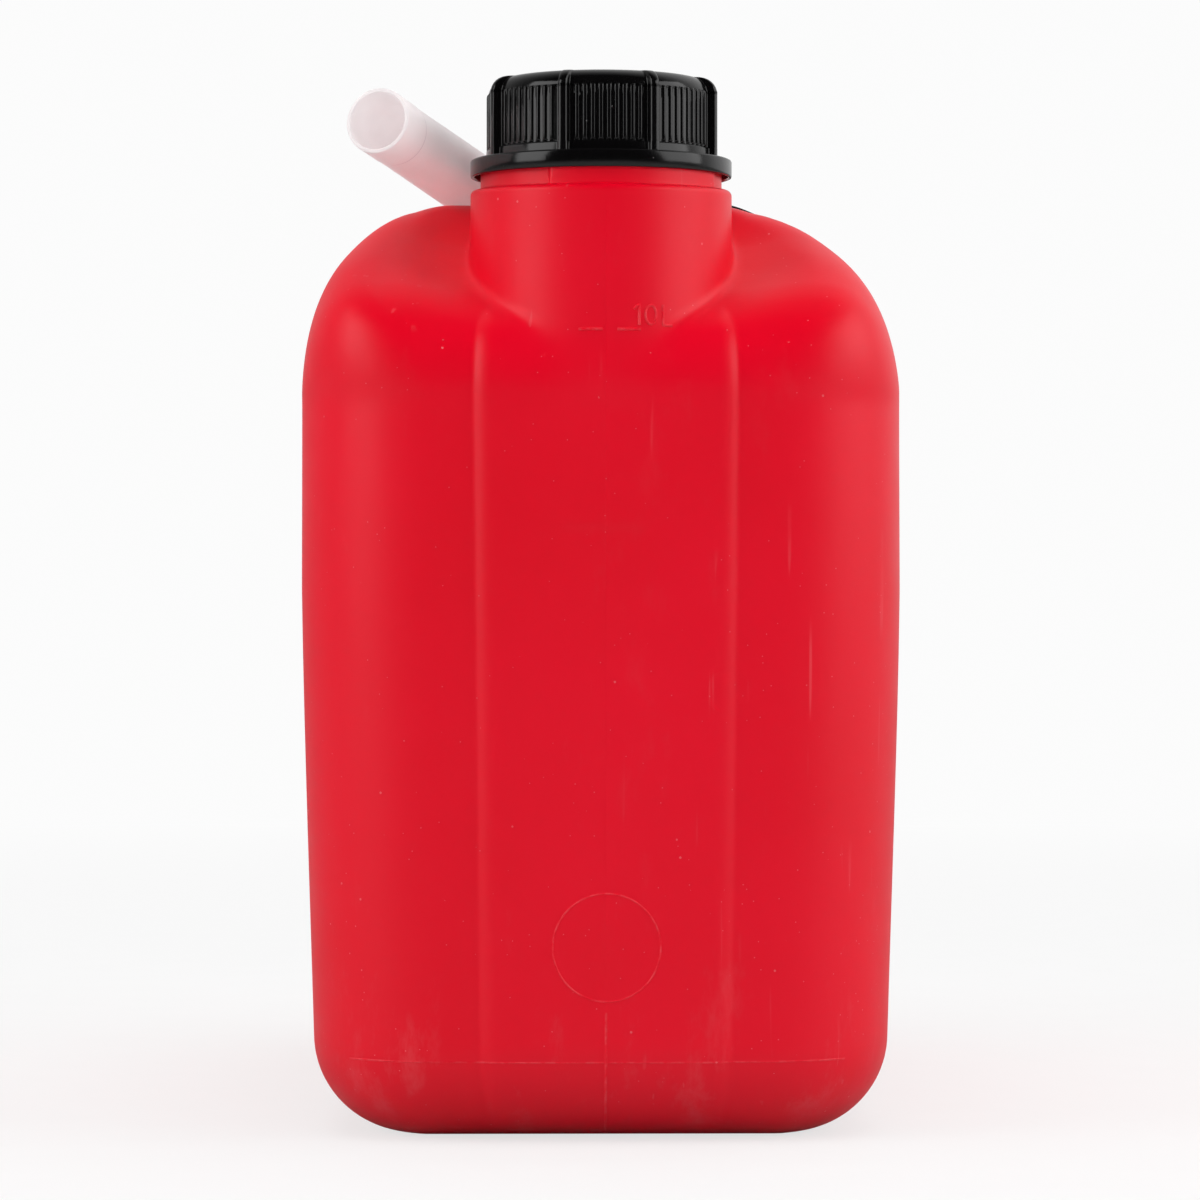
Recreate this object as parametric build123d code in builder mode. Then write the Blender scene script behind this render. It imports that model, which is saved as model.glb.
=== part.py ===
from build123d import *
import math
import os

os.makedirs("parts", exist_ok=True)

# A ten-litre fuel can with a screw cap and a pouring spout stowed under its handle, in millimetres.
# +Z is up, the neck is at the -Y end and the origin is the centre of the base face.
# Places along the can are given as a distance t behind the front panel, so y = t - body_length / 2.

# Canister walls
body_width = 166.5
body_length = 314.0
wall = 1.8
panel_step = 2.0  # the centre panel of the front stands proud of its flanks
panel_half_width_top = 36.6
panel_half_width_base = 33.6
panel_base_height = 1.0  # its foot runs out just above the base
panel_depth = 44.0  # it is rooted this deep in the body
plan_radius = 38.0  # vertical corners
base_width = 159.6  # the sides draw in towards the base
draft_start = 150.0
base_radius = 26.0

trim_margin = 0.05  # the outlines that trim the top stand this far outside the walls

# Shoulders, seen from the front: a tighter left one and a flatter right one
crest_height = 258.5
left_shoulder = (39.4, 52.5)  # half axes of the quarter ellipse
right_shoulder = (51.4, 54.5)

# Top line, seen from the side
front_bend_height = 224.0
front_bend_radius = 36.0
crest_t = 62.0
crest_radius = 12.0
crest_rounding = 3.6  # the sharp crest would stand this much above the rounded one
saddle_height = 201.5
saddle_front_t = 121.0
saddle_rear_t = 262.0
saddle_radius = 16.0
rear_crest_t = 278.0
rear_crest_height = 249.0
rear_wall_bend_height = 240.0
rear_crest_radius = 11.0
rear_radius = 22.0

# Neck
collar_radius = 36.3
neck_t = collar_radius
collar_top = 260.0
neck_ring_radius = 33.5
neck_ring_top = 267.5
neck_radius = 27.5
neck_bore_radius = 24.5
neck_top = 288.0
pad_radius = 34.7
pad_arc = 89.0
pad_centre_angle = -70.5  # the middle of one stop pad, from +X
pad_top = 266.0
neck_root = 171.0  # the neck's cylinder starts inside the body

# Thread shared by the neck, the cap and the spout's nut
thread_pitch = 6.0
thread_turns = 1.5
thread_depth = 1.7
thread_base = 2.2
thread_crest = 1.4
thread_root = 0.3  # buried in the wall
thread_clearance = 0.4

# Handle, part of the canister moulding
handle_width = 32.0
handle_thickness = 22.0
handle_corner = 10.5
handle_height = 281.0  # middle of the grip
handle_front_foot_t = 87.0
handle_front_top_t = 91.0
handle_rear_top_t = 283.0
handle_rear_foot_t = 285.0
handle_foot_height = 222.0
handle_bend = 24.0

# Screw cap, and the spout's nut, which has the same outside
closure_base = 264.7
closure_height = 27.8
flange_radius = 36.3
flange_height = 4.8
flange_wall = 1.1
flange_web = 1.4
barrel_radius = 31.4
top_plate = 2.5
top_edge_radius = 4.0
grip_rib_count = 8
grip_rib_width = 2.9
grip_rib_radius = 33.7
grip_rib_turn = 2.0  # the rib pattern stands turned by this angle
seal_thickness = 2.0
seal_play = 0.4
nut_hole_radius = 19.5

# Spout, stowed across the can: its mouth looks forward on the left
mouth_x = -61.35
mouth_t = 12.0
mouth_height = 278.2
spout_run_x = 0.400  # sideways and down for each millimetre back
spout_drop = 0.1913
tube_length = 164.0
tube_mouth_radius = 8.9
tube_root_radius = 10.0
tube_wall = 0.9
mouth_band_length = 13.0
mouth_band_step = 0.25
bellows_length = 50.0
bellows_folds = 8
bellows_radius = 13.2
bellows_fold_length = 4.8
bellows_angle = 8.0
bellows_bend_rise = 0.60  # the bend goes this far up for each millimetre sideways
cone_length = 8.0
throat_radius = 18.6
nut_gap = 1.6
nut_play = 0.05
spout_flange_radius = 28.6
spout_flange_thickness = 2.0
spout_seal_inner_radius = 22.0

# Places that follow from the sizes above
neck_axis_y = neck_t - body_length / 2
neck_thread_start = neck_top - 4.0 - thread_pitch * thread_turns
closure_thread_start = neck_thread_start - thread_pitch / 2 - closure_base
closure_bore_radius = neck_radius + thread_depth + thread_clearance
bellows_start = tube_length
cone_start = bellows_start + bellows_length
throat_start = cone_start + cone_length
nut_front = throat_start + nut_gap
nut_open_end = nut_front + closure_height
spout_flange_start = nut_front + top_plate + nut_play
spout_seal_start = spout_flange_start + spout_flange_thickness


def behind_front(t):
    """The y coordinate of a point t behind the front panel."""
    return t - body_length / 2


# --- Canister: body, neck and handle in one hollow moulding ---


def top_outline():
    """Side outline of the can in (y, z): front slope, crest, saddle and rear hump."""
    FilletPolyline(
        (behind_front(panel_step) - trim_margin, -wall),
        (behind_front(panel_step) - trim_margin, front_bend_height),
        (behind_front(crest_t), crest_height + crest_rounding),
        (behind_front(saddle_front_t), saddle_height),
        (behind_front(saddle_rear_t), saddle_height),
        (behind_front(rear_crest_t), rear_crest_height),
        (behind_front(body_length) + trim_margin, rear_wall_bend_height),
        (behind_front(body_length) + trim_margin, -wall),
        radius=(
            0,
            front_bend_radius,
            crest_radius,
            saddle_radius,
            saddle_radius,
            rear_crest_radius,
            rear_radius,
            0,
        ),
        close=True,
    )


def panel_outline():
    """Side outline of the raised front panel in (y, z), running out into the slope and the base."""
    slope = (crest_height + crest_rounding - front_bend_height) / (crest_t - panel_step)
    FilletPolyline(
        (behind_front(0), panel_base_height),
        (behind_front(0), front_bend_height),
        (behind_front(panel_depth), front_bend_height + slope * panel_depth - panel_step),
        (behind_front(panel_depth), panel_base_height),
        radius=(base_radius, front_bend_radius, 0, 0),
        close=True,
    )


def plan_outline(width, inset):
    """The rounded rectangle of the walls, behind the centre panel."""
    with Locations((0, panel_step / 2)):
        RectangleRounded(width - 2 * inset, body_length - panel_step - 2 * inset, plan_radius - inset)


def canister_form(inset):
    """The closed form of body, neck and handle, drawn inset inside its outer skin."""
    half_width = body_width / 2

    with BuildPart() as centre_panel:
        with BuildSketch(Plane.YZ):
            with BuildLine():
                panel_outline()
            make_face()
            offset(amount=-inset, mode=Mode.REPLACE)
        extrude(amount=half_width, both=True)
        with BuildSketch(Plane.XZ):
            with BuildLine():
                Polyline(
                    (-panel_half_width_base + inset, 0),
                    (panel_half_width_base - inset, 0),
                    (panel_half_width_top - inset, crest_height),
                    (-panel_half_width_top + inset, crest_height),
                    close=True,
                )
            make_face()
        extrude(amount=body_length, both=True, mode=Mode.INTERSECT)

    with BuildPart() as form:
        # Walls: drawn in towards the base below draft_start, straight above it
        with BuildSketch(Plane.XY.offset(inset)):
            plan_outline(base_width, inset)
        with BuildSketch(Plane.XY.offset(draft_start)):
            plan_outline(body_width, inset)
        loft()
        fillet(form.edges().group_by(Axis.Z)[0], base_radius - inset)
        with BuildSketch(Plane.XY.offset(draft_start)):
            plan_outline(body_width, inset)
        extrude(amount=crest_height - draft_start - inset)

        # Shoulders
        with BuildSketch(Plane.XZ):
            with BuildLine():
                left_arc = EllipticalCenterArc(
                    (left_shoulder[0] - half_width, crest_height - left_shoulder[1]),
                    left_shoulder[0] - inset + trim_margin,
                    left_shoulder[1] - inset,
                    start_angle=90,
                    arc_size=90,
                )
                right_arc = EllipticalCenterArc(
                    (half_width - right_shoulder[0], crest_height - right_shoulder[1]),
                    right_shoulder[0] - inset + trim_margin,
                    right_shoulder[1] - inset,
                    start_angle=0,
                    arc_size=90,
                )
                side = half_width - inset + trim_margin
                Polyline(right_arc @ 1, left_arc @ 0)
                Polyline(left_arc @ 1, (-side, 0), (side, 0), right_arc @ 0)
            make_face()
        extrude(amount=body_length, both=True, mode=Mode.INTERSECT)

        # Top line: front slope, crest, saddle and rear hump
        with BuildSketch(Plane.YZ):
            with BuildLine():
                top_outline()
            make_face()
            offset(amount=-inset, mode=Mode.REPLACE)
        extrude(amount=body_width, both=True, mode=Mode.INTERSECT)

        add(centre_panel.part)

        # Neck collar and the stop ring above it
        for radius, top in ((collar_radius, collar_top), (neck_ring_radius, neck_ring_top)):
            with BuildSketch(Plane.XY.offset(neck_root)):
                with Locations((0, neck_axis_y)):
                    Circle(radius - inset)
            extrude(amount=top - inset - neck_root)

        # Handle
        with BuildLine(Plane.YZ) as handle_path:
            FilletPolyline(
                (behind_front(handle_front_foot_t), handle_foot_height),
                (behind_front(handle_front_top_t), handle_height),
                (behind_front(handle_rear_top_t), handle_height),
                (behind_front(handle_rear_foot_t), handle_foot_height),
                radius=handle_bend,
            )
        foot_plane = Plane(origin=handle_path.line @ 0, x_dir=(1, 0, 0), z_dir=handle_path.line % 0)
        with BuildSketch(foot_plane):
            RectangleRounded(
                handle_width - 2 * inset, handle_thickness - 2 * inset, handle_corner - inset
            )
        sweep(path=handle_path.line)
    return form.part


def thread_rib(plane, radius, depth):
    """A helical rib standing depth proud of the given radius; a negative depth points inwards."""
    root = -math.copysign(thread_root, depth)
    with BuildPart() as rib:
        with BuildLine(plane) as helix:
            Helix(pitch=thread_pitch, height=thread_pitch * thread_turns, radius=radius)
        with BuildSketch(Plane(origin=helix.line @ 0, x_dir=plane.x_dir, z_dir=helix.line % 0)):
            with BuildLine():
                Polyline(
                    (root, -thread_base / 2),
                    (depth, -thread_crest / 2),
                    (depth, thread_crest / 2),
                    (root, thread_base / 2),
                    close=True,
                )
            make_face()
        sweep(path=helix.line, is_frenet=True)
    return rib.part


canister_outside = canister_form(0)
canister_cavity = canister_form(wall)
neck_plane = Plane(origin=(0, neck_axis_y, neck_ring_top - wall))
neck_thread = thread_rib(
    Plane(origin=(0, neck_axis_y, neck_thread_start)), neck_radius, thread_depth
)

with BuildPart() as canister:
    add(canister_outside)
    with BuildSketch(neck_plane):
        Circle(neck_radius)
    extrude(amount=neck_top - neck_plane.origin.Z)

    # Two stop pads around the neck ring
    with BuildSketch(Plane(origin=(0, neck_axis_y, collar_top - wall))):
        for middle in (pad_centre_angle, pad_centre_angle + 180):
            with BuildLine():
                outer_arc = CenterArc((0, 0), pad_radius, middle - pad_arc / 2, pad_arc)
                inner_arc = CenterArc((0, 0), neck_ring_radius - wall / 2, middle - pad_arc / 2, pad_arc)
                Line(outer_arc @ 0, inner_arc @ 0)
                Line(outer_arc @ 1, inner_arc @ 1)
            make_face()
    extrude(amount=pad_top - collar_top + wall)

    add(canister_cavity, mode=Mode.SUBTRACT)
    with BuildSketch(neck_plane.offset(-wall)):
        Circle(neck_bore_radius)
    extrude(amount=neck_top - neck_plane.origin.Z + 2 * wall, mode=Mode.SUBTRACT)
    add(neck_thread)
canister.part.label = "canister"
export_step(canister.part, "parts/canister.step")


# --- Screw cap and the spout's nut ---


def closure(hole_radius):
    """A ribbed threaded closure standing on its open end, with a hole in its top if given one."""
    thread = thread_rib(Plane.XY.offset(closure_thread_start), closure_bore_radius, -thread_depth)

    # The ribs wrap over the top edge, inside this rounded envelope
    with BuildPart() as envelope:
        with BuildSketch():
            Circle(grip_rib_radius)
        extrude(amount=closure_height)
        fillet(envelope.faces().sort_by(Axis.Z)[-1].edges(), top_edge_radius)

    with BuildPart() as shell:
        with BuildSketch():
            Circle(barrel_radius)
        extrude(amount=closure_height)
        fillet(shell.faces().sort_by(Axis.Z)[-1].edges(), top_edge_radius)
        with BuildSketch():
            with PolarLocations(
                grip_rib_radius / 2, grip_rib_count, start_angle=grip_rib_turn + 180 / grip_rib_count
            ):
                Rectangle(grip_rib_radius + grip_rib_width, grip_rib_width)
        extrude(amount=closure_height)
        add(envelope.part, mode=Mode.INTERSECT)
        with BuildSketch():
            Circle(flange_radius)
        extrude(amount=flange_height)

        # Inside: skirt of the flange, then the threaded barrel
        with BuildSketch():
            Circle(flange_radius - flange_wall)
        extrude(amount=flange_height - flange_web, mode=Mode.SUBTRACT)
        with BuildSketch():
            Circle(closure_bore_radius)
        extrude(amount=closure_height - top_plate, mode=Mode.SUBTRACT)
        if hole_radius:
            with BuildSketch():
                Circle(hole_radius)
            extrude(amount=closure_height, mode=Mode.SUBTRACT)
        add(thread)
    return shell.part


closed_closure = closure(0)
with BuildPart() as screw_cap:
    with Locations((0, neck_axis_y, closure_base)):
        add(closed_closure)
screw_cap.part.label = "screw_cap"
export_step(screw_cap.part, "parts/screw_cap.step")

with BuildPart() as cap_seal:
    with BuildSketch(Plane(origin=(0, neck_axis_y, neck_top))):
        Circle(closure_bore_radius - seal_play)
    extrude(amount=seal_thickness)
cap_seal.part.label = "cap_seal"
export_step(cap_seal.part, "parts/cap_seal.step")


# --- Pouring spout ---

spout_direction = Vector(spout_run_x, 1, -spout_drop).normalized()
bend_hint = Vector(1, 0, bellows_bend_rise)
bend_direction = bend_hint - spout_direction * bend_hint.dot(spout_direction)
spout_plane = Plane(
    origin=(mouth_x, behind_front(mouth_t), mouth_height),
    x_dir=spout_direction,
    z_dir=spout_direction.cross(bend_direction),
)
bend_radius = bellows_length / math.radians(bellows_angle)


def spout_section(distance):
    """The plane across the spout, this far along it from the mouth, looking to the flange."""
    bent = min(max(distance - bellows_start, 0), bellows_length)
    angle = bent / bend_radius
    straight = max(distance - cone_start, 0)
    along = min(distance, bellows_start) + bend_radius * math.sin(angle) + straight * math.cos(angle)
    aside = bend_radius * (1 - math.cos(angle)) + straight * math.sin(angle)
    return Plane(
        origin=spout_plane.from_local_coords((along, aside, 0)),
        x_dir=spout_plane.z_dir,
        z_dir=spout_plane.x_dir * math.cos(angle) + spout_plane.y_dir * math.sin(angle),
    )


def spout_form(inset):
    """The spout drawn inset inside its outer skin, from the mouth to the face of the flange."""
    with BuildPart() as form:
        with BuildSketch(spout_section(0)):
            Circle(tube_mouth_radius - inset)
        with BuildSketch(spout_section(tube_length)):
            Circle(tube_root_radius - inset)
        loft()

        # Bellows: a bent core with ring folds
        with BuildLine(spout_plane) as bend:
            JernArc((bellows_start, 0), (1, 0), bend_radius, bellows_angle)
        with BuildSketch(spout_section(bellows_start)):
            Circle(tube_root_radius - inset)
        sweep(path=bend.line)
        half_fold = bellows_fold_length / 2 - inset / 2
        for fold in range(bellows_folds):
            middle = bellows_start + (fold + 0.5) * bellows_length / bellows_folds
            for distance, radius in (
                (middle - half_fold, tube_root_radius - inset),
                (middle, bellows_radius - inset),
                (middle + half_fold, tube_root_radius - inset),
            ):
                with BuildSketch(spout_section(distance)):
                    Circle(radius)
            loft(ruled=True)

        # Cone and throat
        with BuildSketch(spout_section(cone_start)):
            Circle(tube_root_radius - inset)
        with BuildSketch(spout_section(throat_start)):
            Circle(throat_radius - inset)
        loft()
        with BuildSketch(spout_section(throat_start)):
            Circle(throat_radius - inset)
        extrude(amount=spout_seal_start - throat_start)
    return form.part


spout_outside = spout_form(0)
spout_bore = spout_form(tube_wall)
with BuildPart() as spout_tube:
    add(spout_outside)
    with BuildSketch(spout_section(0)):
        Circle(tube_mouth_radius + mouth_band_step)
    extrude(amount=mouth_band_length)
    with BuildSketch(spout_section(spout_flange_start)):
        Circle(spout_flange_radius)
    extrude(amount=spout_flange_thickness)
    add(spout_bore, mode=Mode.SUBTRACT)
spout_tube.part.label = "spout_tube"
export_step(spout_tube.part, "parts/spout_tube.step")

with BuildPart() as spout_seal:
    with BuildSketch(spout_section(spout_seal_start)):
        Circle(spout_flange_radius)
        Circle(spout_seal_inner_radius, mode=Mode.SUBTRACT)
    extrude(amount=seal_thickness)
spout_seal.part.label = "spout_seal"
export_step(spout_seal.part, "parts/spout_seal.step")

nut_section = spout_section(nut_open_end)
nut_plane = Plane(origin=nut_section.origin, x_dir=nut_section.x_dir, z_dir=-nut_section.z_dir)
open_closure = closure(nut_hole_radius)
with BuildPart() as spout_nut:
    with Locations(nut_plane.location):
        add(open_closure)
spout_nut.part.label = "spout_nut"
export_step(spout_nut.part, "parts/spout_nut.step")
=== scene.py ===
import math

import bmesh
import bpy
import numpy as np
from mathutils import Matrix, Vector


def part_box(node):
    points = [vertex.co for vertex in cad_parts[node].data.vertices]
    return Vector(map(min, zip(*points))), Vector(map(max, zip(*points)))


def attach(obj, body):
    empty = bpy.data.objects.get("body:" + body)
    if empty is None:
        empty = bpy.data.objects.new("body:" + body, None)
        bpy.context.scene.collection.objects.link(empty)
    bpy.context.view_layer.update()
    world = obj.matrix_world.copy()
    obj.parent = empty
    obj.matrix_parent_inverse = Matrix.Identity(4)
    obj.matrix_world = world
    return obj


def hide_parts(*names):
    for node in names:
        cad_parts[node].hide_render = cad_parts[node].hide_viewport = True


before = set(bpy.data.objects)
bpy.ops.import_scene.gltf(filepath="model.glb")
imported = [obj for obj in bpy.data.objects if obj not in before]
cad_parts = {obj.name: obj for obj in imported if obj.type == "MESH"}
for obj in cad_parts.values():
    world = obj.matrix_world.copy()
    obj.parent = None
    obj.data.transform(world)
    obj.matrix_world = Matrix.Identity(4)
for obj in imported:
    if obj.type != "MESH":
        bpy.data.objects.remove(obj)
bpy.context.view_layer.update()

# Everything below is worked out in millimetres and turned into metres when a mesh is made.
MM = 0.001


# ---- Places taken from the frame ----

def node_box(node):
    """Lowest and highest corner of a CAD node, in millimetres."""
    low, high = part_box(node)
    return np.array(low) / MM, np.array(high) / MM


can_low, can_high = node_box("canister")
cap_low, cap_high = node_box("screw_cap")
tube_low, tube_high = node_box("spout_tube")

body_width = can_high[0] - can_low[0]
body_length = can_high[1] - can_low[1]
front_y = can_low[1]
handle_top = can_high[2]
neck_x = (cap_low[0] + cap_high[0]) / 2
neck_y = (cap_low[1] + cap_high[1]) / 2
flange_radius = (cap_high[0] - cap_low[0]) / 2
closure_height = cap_high[2] - cap_low[2]


# ---- Shape of the canister ----

# A place along the can is t, its distance behind the front panel. A pair of places, named
# _t or _z, is where a feature begins and where it is complete.
wall = 1.8
outline_foot = -30.0  # outlines run on below the base, which trims them
panel_step = 2.0
panel_centre = 0.9
panel_half_width = (37.1, 39.8)  # at the base and at the top
panel_edge_radius = 9.0
panel_depth = 44.0
panel_base = 1.0
panel_fillet = 0.9
panel_sink = 2.3  # the panel sinks into the slope by this much
panel_sink_z = (220.0, 237.0)
plan_radius = 38.0
crest_edge_radius = 8.0
front_corner_t = (80.0, 45.0)  # the plan radius holds in front of and below these places
front_corner_z = (246.0, 200.0)
ridge_edge_radius = 3.0
ridge_z = (244.0, 257.0)
rear_edge_radius = 22.0
rear_edge_t = (255.0, 285.0)
base_radius = 26.0
draft_start = 150.0
draft = 3.3  # each side draws in by this much over draft_reach
draft_reach = 124.0
draft_limit = 1.3
draft_power = 1.2
crest_height = 258.5
crest_corner = 4.2  # the sharp crest would stand this much above the rounded one
crest_t = 62.0
crest_radius = 12.0
left_shoulder = (39.4, 52.5)  # half axes of the quarter ellipse
right_shoulder = (51.4, 54.5)
shoulder_sweep = math.radians(78)  # then a straight gable takes over
gable_slope = 0.55
gable_half_width = 12.0
front_bend_height = 224.0
front_bend_radius = 36.0
saddle_height = 201.5
saddle_front_t = 121.0
saddle_rear_t = 262.0
saddle_radius = 18.0
rear_crest_t = 278.0
rear_crest_height = 249.0
rear_crest_radius = 12.0
past_rear = (body_length + 40, 230.0)  # the top line runs on past the rear wall, which trims it
wander = 0.10  # the moulded walls stray this much from true
dip_depth = 3.6  # the slope sinks around the foot of the collar
dip_width = 24.0
dip_z = (214.0, 240.0)
dip_front_t = (-8.0, 16.0)
dip_rear_t = (61.0, 42.0)
collar_radius = 36.3
collar_top = 260.2  # at the front; it stands collar_rise higher round the rest
collar_rise = 1.1
collar_edge = 1.7
collar_foot = 170.0
collar_waist = 1.0  # it is this much slimmer at its foot
collar_waist_z = (211.0, 197.0)
collar_fillet = 4.5
ring_radius = 33.5
ring_top = 267.5
ring_foot = 200.0
ring_fillet = 0.3
pad_radius = 34.7
pad_top = 266.0
pad_middle = math.radians(-70.5)
pad_half_arc = math.radians(44.5)
pad_edge = math.radians(1.0)
neck_cut = 262.0  # the body's skin ends here and the turned neck begins
neck_radius = 27.5
neck_bore = 24.5
neck_top = 288.0
thread_pitch = 6.0
thread_turns = 1.5
thread_depth = 1.7
thread_half_width = 1.1
thread_flank = 0.5
thread_lead = 4.0  # smooth neck above the thread
rim_edge = 0.8
grip_half_width = 16.0
grip_half_height = 11.0
grip_corner = 10.4
grip_bend = 24.0
grip_foot_height = 222.0
grip_front_t = (87.0, 91.0)  # at the foot and at the top
grip_rear_t = (285.0, 283.0)
grip_fillet = 13.0


def rounded_outline(corners):
    """An outline through corners given as (u, v, radius), each replaced by an arc."""
    outline = []
    points = np.array(corners, float)[:, :2]
    for index, corner in enumerate(points):
        radius = corners[index][2]
        if radius == 0:
            outline.append(corner)
            continue
        before = points[index - 1] - corner
        after = points[(index + 1) % len(points)] - corner
        before /= np.linalg.norm(before)
        after /= np.linalg.norm(after)
        half = math.acos(np.clip(before @ after, -1, 1)) / 2
        bisector = (before + after) / np.linalg.norm(before + after)
        centre = corner + bisector * radius / math.sin(half)
        start = corner + before * radius / math.tan(half) - centre
        end = corner + after * radius / math.tan(half) - centre
        first = math.atan2(start[1], start[0])
        sweep = (math.atan2(end[1], end[0]) - first + math.pi) % (2 * math.pi) - math.pi
        for angle in np.linspace(first, first + sweep, 2 + int(abs(sweep) / math.radians(3))):
            outline.append(centre + radius * np.array((math.cos(angle), math.sin(angle))))
    return np.array(outline)


def outline_distance(outline, closed=True, step=0.5, margin=12.0):
    low = outline.min(0) - margin
    size = np.ceil((outline.max(0) + margin - low) / step).astype(int) + 1
    u = (low[0] + step * np.arange(size[0]))[:, None]
    v = (low[1] + step * np.arange(size[1]))[None, :]
    nearest = np.full(size, 1e12)
    inside = np.zeros(size, bool)
    ends = np.roll(outline, -1, axis=0) if closed else outline[1:]
    for (ax, ay), (bx, by) in zip(outline, ends):
        ex, ey = bx - ax, by - ay
        share = np.clip(((u - ax) * ex + (v - ay) * ey) / (ex * ex + ey * ey + 1e-12), 0, 1)
        nearest = np.minimum(nearest, (u - ax - share * ex) ** 2 + (v - ay - share * ey) ** 2)
        if closed and ay != by:
            inside ^= ((ay > v) != (by > v)) & (u < ex * (v - ay) / ey + ax)
    table = np.sqrt(nearest) * np.where(inside, -1, 1)

    def lookup(pu, pv):
        fu = np.clip((pu - low[0]) / step, 0, size[0] - 1.001)
        fv = np.clip((pv - low[1]) / step, 0, size[1] - 1.001)
        iu, iv = fu.astype(int), fv.astype(int)
        fu, fv = fu - iu, fv - iv
        low_row = table[iu, iv] * (1 - fu) + table[iu + 1, iv] * fu
        high_row = table[iu, iv + 1] * (1 - fu) + table[iu + 1, iv + 1] * fu
        return low_row * (1 - fv) + high_row * fv

    return lookup


def full_turn(count):
    """Evenly spread angles round a circle."""
    return np.linspace(0, 2 * math.pi, count, endpoint=False)


def smooth_step(low, high, value):
    share = np.clip((value - low) / (high - low), 0, 1)
    return share * share * (3 - 2 * share)


def rounded_and(a, b, radius):
    """Distance to the overlap of two forms, their common edge rounded."""
    a, b = a + radius, b + radius
    outside = np.sqrt(np.maximum(a, 0) ** 2 + np.maximum(b, 0) ** 2)
    return outside + np.minimum(np.maximum(a, b), 0) - radius


def smooth_or(a, b, reach):
    """Distance to two forms joined by a fillet."""
    blend = np.maximum(reach - np.abs(a - b), 0) / reach
    return np.minimum(a, b) - blend ** 3 * reach / 6


def front_outline():
    """Walls and shoulders seen from the front, in (x, z), with a blunt gable on top."""
    half = body_width / 2
    below = np.linspace(outline_foot, draft_start, 12)
    drawn_in = np.clip((draft_start - below) / draft_reach, 0, draft_limit)
    width = half - draft * drawn_in ** draft_power
    turn = np.linspace(0, shoulder_sweep, 28)
    sides = []
    for across, up in (right_shoulder, left_shoulder):
        arc_x = half - across * (1 - np.cos(turn))
        arc_z = crest_height - up * (1 - np.sin(turn))
        arc = np.column_stack((arc_x, arc_z))
        gable = [(gable_half_width, arc[-1, 1] + gable_slope * (arc[-1, 0] - gable_half_width))]
        sides.append(np.vstack((np.column_stack((width, below)), arc, gable)))
    return np.vstack((sides[0], (sides[1] * (-1, 1))[::-1]))


def side_outline():
    """Front wall, slope, crest, saddle and rear hump seen from the side, in (t, z)."""
    corners = [
        (panel_step, outline_foot, 0),
        (panel_step, front_bend_height, front_bend_radius),
        (crest_t, crest_height + crest_corner, crest_radius),
        (saddle_front_t, saddle_height, saddle_radius),
        (saddle_rear_t, saddle_height, saddle_radius),
        (rear_crest_t, rear_crest_height, rear_crest_radius),
        (*past_rear, 0),
        (past_rear[0], outline_foot, 0),
    ]
    return rounded_outline(corners)


def panel_outline():
    """The raised front panel seen from the side, in (t, z)."""
    slope = (crest_height + crest_corner - front_bend_height) / (crest_t - panel_step)
    top = front_bend_height + slope * panel_depth - panel_step
    corners = [
        (0, panel_base, base_radius),
        (0, front_bend_height, front_bend_radius),
        (panel_depth, top, 0),
        (panel_depth, panel_base, 0),
    ]
    return rounded_outline(corners)


def handle_path():
    """The middle line of the handle, in (t, z)."""
    height = handle_top - grip_half_height
    corners = [
        (grip_front_t[0], grip_foot_height, 0),
        (grip_front_t[1], height, grip_bend),
        (grip_rear_t[1], height, grip_bend),
        (grip_rear_t[0], grip_foot_height, 0),
    ]
    return rounded_outline(corners)


front_view = outline_distance(front_outline())
side_view = outline_distance(side_outline())
panel_view = outline_distance(panel_outline())
handle_view = outline_distance(handle_path(), closed=False, margin=30)


def ring_reach(angle):
    """Radius of the stop ring with its two pads, by the angle around the neck."""
    turned = (angle - pad_middle) % math.pi
    away = np.minimum(turned, math.pi - turned)
    share = smooth_step(pad_half_arc + pad_edge, pad_half_arc - pad_edge, away)
    return ring_radius + (pad_radius - ring_radius) * share


def past_panel_side(x, z):
    """How far a place lies outside the straight sides of the front panel."""
    low, high = panel_half_width
    half = low + (high - low) * z / crest_height
    return np.abs(x - panel_centre) - half


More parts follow.
